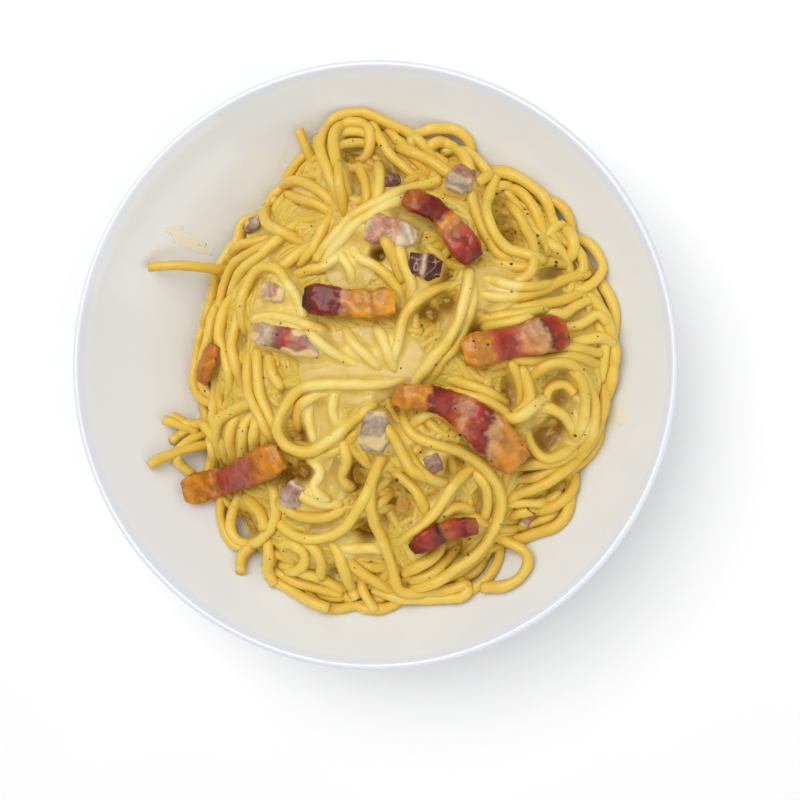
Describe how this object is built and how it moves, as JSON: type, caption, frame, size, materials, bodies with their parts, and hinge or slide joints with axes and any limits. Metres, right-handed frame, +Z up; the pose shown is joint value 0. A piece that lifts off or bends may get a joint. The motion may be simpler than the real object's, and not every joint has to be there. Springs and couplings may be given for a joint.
{
  "type": "spaghetti carbonara",
  "caption": "Sauced spaghetti heaped in a wide white coupe bowl, with crisp bacon strips and soft ham on top.",
  "frame": {"origin": "centre of the bowl's foot ring, on the plane the bowl stands on", "axes": "+Z up along the bowl's axis; +Y is the far side of the bowl as served, +X its right side"},
  "size_m": [0.185, 0.185, 0.0572],
  "materials": {
    "porcelain": "glossy",
    "sauced_spaghetti": "satin, wet with cream sauce",
    "crisp_bacon": "glossy, greasy",
    "soft_ham": "satin, moist"
  },
  "bodies": {
    "root": {"bowl": "porcelain", "spaghetti_heap": "sauced_spaghetti", "bacon_1": "crisp_bacon", "bacon_2": "crisp_bacon", "bacon_3": "crisp_bacon", "bacon_4": "crisp_bacon", "bacon_5": "crisp_bacon", "bacon_6": "crisp_bacon", "bacon_7": "crisp_bacon", "ham_1": "soft_ham", "ham_2": "soft_ham", "ham_3": "soft_ham", "ham_4": "soft_ham", "ham_5": "soft_ham", "ham_6": "soft_ham", "ham_7": "soft_ham", "ham_8": "soft_ham", "ham_9": "soft_ham", "ham_10": "soft_ham", "ham_11": "soft_ham", "strand_left": "sauced_spaghetti", "strand_lower_left": "sauced_spaghetti", "strand_stub": "sauced_spaghetti", "strand_upper_left": "sauced_spaghetti", "strand_hook": "sauced_spaghetti", "strand_bottom": "sauced_spaghetti"}
  },
  "joints": []
}
